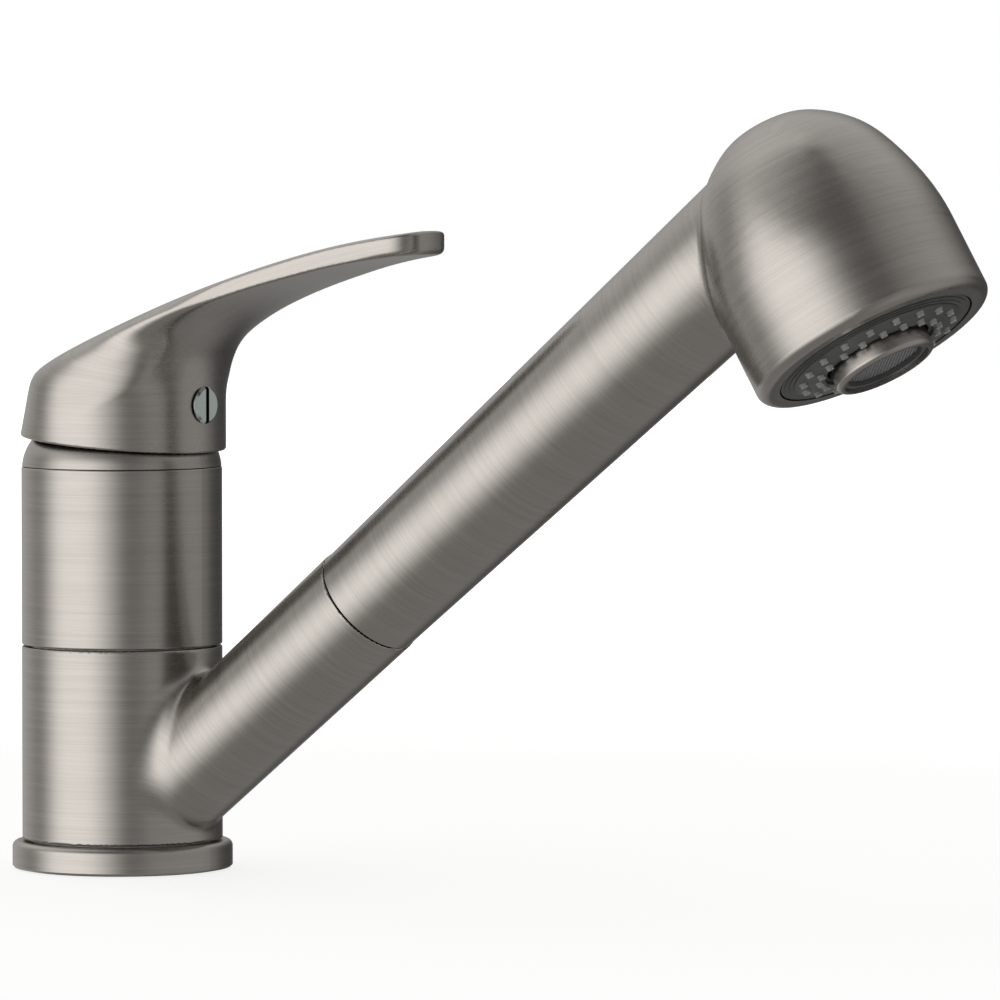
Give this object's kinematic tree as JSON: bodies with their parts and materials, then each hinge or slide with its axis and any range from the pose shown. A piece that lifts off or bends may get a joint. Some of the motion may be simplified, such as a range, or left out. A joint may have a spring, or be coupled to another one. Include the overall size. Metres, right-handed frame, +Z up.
{
  "type": "kitchen mixer tap",
  "caption": "Single-lever kitchen mixer with a low swivelling spout and a pull-out spray handset docked in its end, in brushed nickel.",
  "frame": {"origin": "on the column's axis, in the top face of the deck that the tap stands on", "axes": "+X towards the sink, along the spout and the lever; +Y to the left of someone behind the tap looking over it along +X; +Z up"},
  "size_m": [0.2737, 0.0594, 0.1885],
  "materials": {
    "brushed_nickel": "brushed nickel plate over brass, fine brush lines round each axis",
    "brushed_nickel_light": "brushed nickel plate over a light metal, fine brush lines round each axis",
    "bright_nickel": "polished nickel plate",
    "plain_brass": "machined brass",
    "plain_steel": "bare stainless steel",
    "mesh_steel": "woven stainless steel mesh",
    "face_grey": "satin dark grey moulding",
    "grey_polymer": "moulded grey plastic",
    "white_polymer": "moulded white plastic",
    "pale_silicone": "pale grey silicone",
    "black_rubber": "black rubber",
    "valve_ceramic": "lapped ceramic"
  },
  "bodies": {
    "column": {"base_ring": "brushed_nickel", "base_gasket": "black_rubber", "fixed_body": "brushed_nickel", "upper_glide_ring": "white_polymer", "lower_glide_ring": "white_polymer", "dome_cap": "brushed_nickel", "cartridge_base": "grey_polymer", "port_seals": "black_rubber", "fixed_disc": "valve_ceramic", "cartridge_housing": "grey_polymer", "cartridge_nut": "plain_brass"},
    "rotor": {"cartridge_rotor": "grey_polymer", "hinge_pin": "plain_steel"},
    "disc": {"disc_carrier": "white_polymer", "moving_disc": "valve_ceramic"},
    "lever": {"lever_stem": "plain_brass", "lever_handle": "brushed_nickel", "set_screw": "plain_steel", "screw_plug": "bright_nickel"},
    "spout": {"spout_body": "brushed_nickel", "dock_bush": "white_polymer"},
    "handset": {"handset_shell": "brushed_nickel_light", "hose_connector": "plain_brass", "check_valve": "white_polymer", "valve_poppet": "white_polymer", "hose_washer": "black_rubber", "waterway": "white_polymer", "inlet_seal": "black_rubber", "spray_chamber": "grey_polymer", "nozzle_mat": "pale_silicone", "face_plate": "face_grey"},
    "diverter": {"diverter_collar": "brushed_nickel_light", "diverter_spool": "white_polymer", "spool_seals": "black_rubber", "aerator_body": "grey_polymer", "aerator_mesh": "mesh_steel"}
  },
  "joints": [
    {"name": "lever_turn", "type": "hinge", "parent": "column", "child": "rotor", "pos_m": [0, 0, 0.08], "axis": [0, 0, 1], "range_deg": [-45, 45]},
    {"name": "lever_lift", "type": "hinge", "parent": "rotor", "child": "lever", "pos_m": [0, 0, 0.095], "axis": [0, -1, 0], "range_deg": [0, 25]},
    {"name": "disc_slide", "type": "slide", "parent": "rotor", "child": "disc", "axis": [1, 0, 0], "range_m": [0, 0.0044]},
    {"name": "spout_swivel", "type": "hinge", "parent": "column", "child": "spout", "pos_m": [0, 0, 0.03], "axis": [0, 0, 1], "range_deg": [-60, 60]},
    {"name": "handset_pull", "type": "slide", "parent": "spout", "child": "handset", "axis": [0.7826, 0, 0.6225], "range_m": [0, 0.15]},
    {"name": "changer_push", "type": "slide", "parent": "handset", "child": "diverter", "axis": [-0.515, 0, 0.8572], "range_m": [0, 0.003]}
  ],
  "couplings": [
    {"joint": "disc_slide", "follows": "lever_lift", "m_per_rad": 0.00969}
  ]
}
